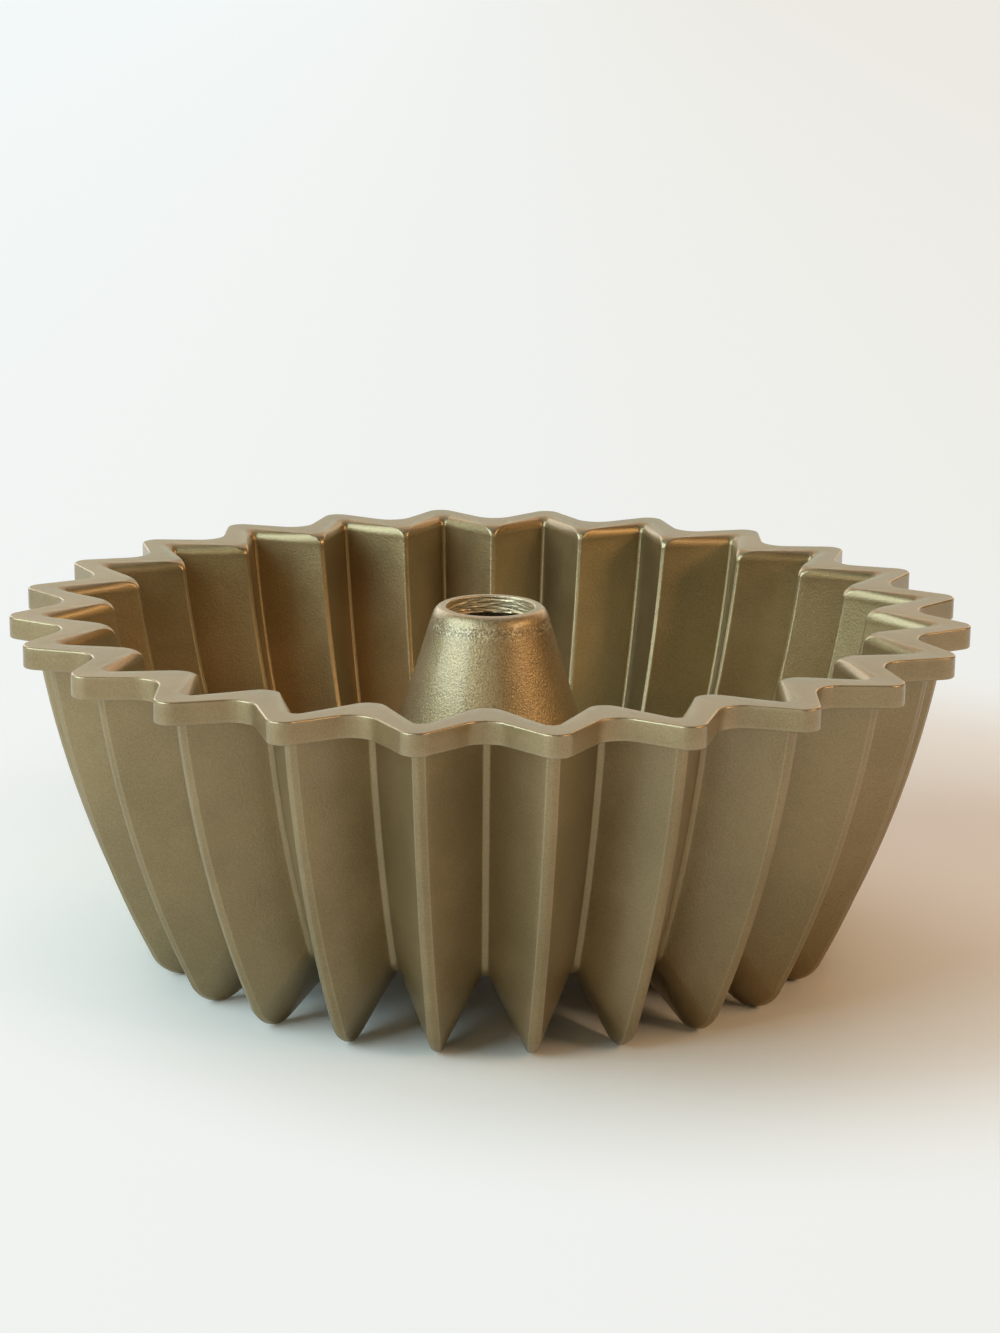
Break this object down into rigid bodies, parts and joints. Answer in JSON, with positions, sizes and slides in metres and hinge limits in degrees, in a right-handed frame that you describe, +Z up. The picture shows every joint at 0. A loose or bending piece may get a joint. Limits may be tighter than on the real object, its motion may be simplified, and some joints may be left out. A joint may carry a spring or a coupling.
{
  "type": "fluted tube pan",
  "caption": "Round fluted cake pan cast with straight pleats, a flat zigzag rim flange, feet under the flutes and an open conical centre tube.",
  "frame": {"origin": "on the table under the middle of the tube, at the level of the feet", "axes": "+Z up along the tube, -Y to the front of the picture, where a valley lies between two flutes"},
  "size_m": [0.2478, 0.2478, 0.0914],
  "materials": {
    "champagne_coat": "satin champagne-gold non-stick coat on cast aluminium"
  },
  "bodies": {
    "root": {"rim_flange": "champagne_coat", "flute_01": "champagne_coat", "flute_02": "champagne_coat", "flute_03": "champagne_coat", "flute_04": "champagne_coat", "flute_05": "champagne_coat", "flute_06": "champagne_coat", "flute_07": "champagne_coat", "flute_08": "champagne_coat", "flute_09": "champagne_coat", "flute_10": "champagne_coat", "flute_11": "champagne_coat", "flute_12": "champagne_coat", "flute_13": "champagne_coat", "flute_14": "champagne_coat", "flute_15": "champagne_coat", "flute_16": "champagne_coat", "flute_17": "champagne_coat", "flute_18": "champagne_coat", "flute_19": "champagne_coat", "flute_20": "champagne_coat", "flute_21": "champagne_coat", "flute_22": "champagne_coat", "flute_23": "champagne_coat", "flute_24": "champagne_coat", "centre_tube": "champagne_coat"}
  },
  "joints": []
}
